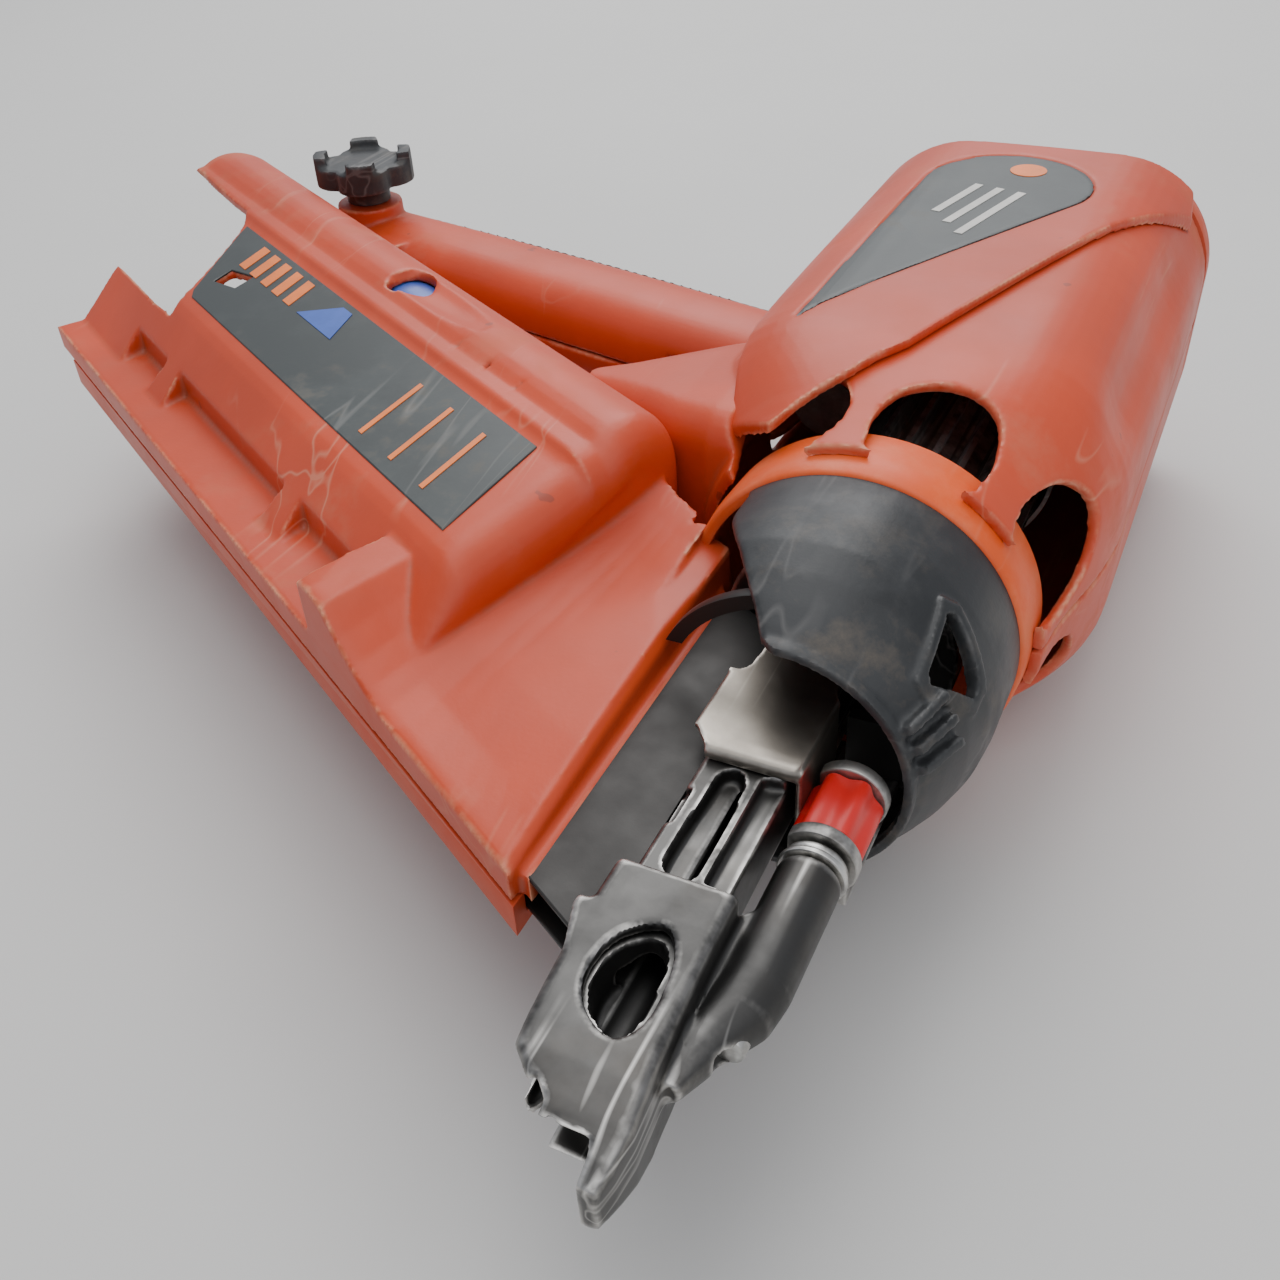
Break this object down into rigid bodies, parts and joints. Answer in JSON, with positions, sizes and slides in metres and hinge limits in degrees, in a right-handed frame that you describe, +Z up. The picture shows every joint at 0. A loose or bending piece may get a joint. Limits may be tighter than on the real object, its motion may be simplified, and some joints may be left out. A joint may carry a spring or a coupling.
{
  "type": "cordless strip nailer",
  "caption": "Gas-powered cordless strip nailer lying on its side, with slanted magazine, toothed contact foot, vented barrel housing and side hook.",
  "frame": {"origin": "on the surface that the left side rests on, under the drive axis, below the flat left side panel", "axes": "+Y runs along the drive axis from the nose to the cap, +Z points up to the right side of the tool, +X points away from the handle"},
  "size_m": [0.3571, 0.36, 0.104],
  "materials": {
    "orange": "sun-faded, scratched and dusty",
    "bright_orange": "unfaded, satin",
    "black": "satin, dusty",
    "inlay": "satin printed film",
    "steel": "brushed, stained",
    "cast": "blackened, worn bright on edges",
    "alu": "as cast and turned",
    "rubber": "matt",
    "red": "glossy",
    "blue": "printed film",
    "foam": "open cell",
    "white": "glazed",
    "brass": "bright",
    "green": "lacquered",
    "zinc": "dull zinc plate"
  },
  "bodies": {
    "tool_body": {"housing_right": "orange", "housing_left": "orange", "side_panel_right": "orange", "side_panel_left": "orange", "panel_inlay_right": "inlay", "panel_inlay_left": "inlay", "vent_collar": "bright_orange", "nose_shroud": "black", "end_cap": "orange", "air_filter": "foam", "fuel_door_pin": "zinc", "handle_right": "orange", "handle_left": "orange", "grip_pad": "rubber", "drive_cylinder": "alu", "cylinder_head": "alu", "fan_motor": "zinc", "spark_plug": "white", "fuel_valve": "black", "fuel_cell": "alu", "bumper": "rubber", "nosepiece": "cast", "nose_bracket": "steel", "return_spring": "steel", "nail_channel": "alu", "magazine_right": "orange", "magazine_left": "orange", "magazine_label": "inlay", "reel_axle": "zinc", "battery_contacts": "brass", "control_board": "green", "spark_unit": "black", "trigger_spring": "steel", "trigger_switch": "black", "housing_screws": "zinc", "magazine_bolts": "zinc"},
    "lift_probe": {"depth_bracket": "zinc", "lift_cage": "zinc", "chamber_sleeve": "alu"},
    "foot": {"contact_foot": "cast", "depth_screw": "zinc", "screw_washers": "zinc"},
    "depth_wheel": {"depth_wheel": "red"},
    "piston": {"piston": "alu", "piston_rings": "cast", "driver_blade": "steel"},
    "fan": {"fan": "black"},
    "trigger": {"trigger": "black"},
    "follower": {"follower": "black"},
    "spring_reel": {"spring_reel": "red"},
    "knob": {"thumb_knob": "black", "knob_nut": "zinc"},
    "hook": {"rafter_hook": "cast"},
    "fuel_door": {"fuel_door": "black"},
    "battery": {"battery": "blue"},
    "battery_latch": {"battery_latch": "black"}
  },
  "joints": [
    {"name": "probe_slide", "type": "slide", "parent": "tool_body", "child": "lift_probe", "axis": [0, 1, 0], "range_m": [0, 0.02], "stiffness_N_per_m": 300, "springref_m": -0.02, "deforming": ["return_spring"]},
    {"name": "depth_wheel_turn", "type": "hinge", "parent": "lift_probe", "child": "depth_wheel", "pos_m": [0.0185, -0.2, 0.054], "axis": [0, 1, 0], "range_deg": [-2410, 0]},
    {"name": "foot_adjust", "type": "slide", "parent": "lift_probe", "child": "foot", "axis": [0, 1, 0], "range_m": [-0.01, 0]},
    {"name": "piston_stroke", "type": "slide", "parent": "tool_body", "child": "piston", "axis": [0, -1, 0], "range_m": [0, 0.092]},
    {"name": "fan_spin", "type": "hinge", "parent": "tool_body", "child": "fan", "pos_m": [0, 0.02, 0.054], "axis": [0, 1, 0], "continuous": true},
    {"name": "trigger_pull", "type": "slide", "parent": "tool_body", "child": "trigger", "axis": [0.225, 0.9744, 0], "range_m": [0, 0.005], "stiffness_N_per_m": 300, "springref_m": -0.003, "deforming": ["trigger_spring"]},
    {"name": "follower_feed", "type": "slide", "parent": "tool_body", "child": "follower", "axis": [-0.866, 0.5, 0], "range_m": [0, 0.18], "stiffness_N_per_m": 15, "springref_m": -0.4},
    {"name": "reel_turn", "type": "hinge", "parent": "tool_body", "child": "spring_reel", "pos_m": [-0.22421, -0.07434, 0.064], "axis": [0, 0, 1], "range_deg": [0, 1040]},
    {"name": "knob_turn", "type": "hinge", "parent": "tool_body", "child": "knob", "pos_m": [-0.23887, 0.01699, 0.054], "axis": [0, 0, 1], "continuous": true},
    {"name": "hook_swing", "type": "hinge", "parent": "tool_body", "child": "hook", "pos_m": [-0.23887, 0.01699, 0.054], "axis": [0, 0, 1], "range_deg": [0, 180]},
    {"name": "fuel_door_swing", "type": "hinge", "parent": "tool_body", "child": "fuel_door", "pos_m": [-0.0556, 0.021, 0.054], "axis": [0, 0, 1], "range_deg": [0, 100]},
    {"name": "battery_slide", "type": "slide", "parent": "tool_body", "child": "battery", "axis": [-0.866, 0.5, 0], "range_m": [0, 0.06]},
    {"name": "battery_latch_press", "type": "slide", "parent": "tool_body", "child": "battery_latch", "axis": [-0.5, -0.866, 0], "range_m": [0, 0.0015], "stiffness_N_per_m": 400, "springref_m": -0.001}
  ],
  "couplings": [
    {"joint": "depth_wheel_turn", "follows": "foot_adjust", "rad_per_m": 4188.8},
    {"joint": "reel_turn", "follows": "follower_feed", "rad_per_m": 100}
  ]
}
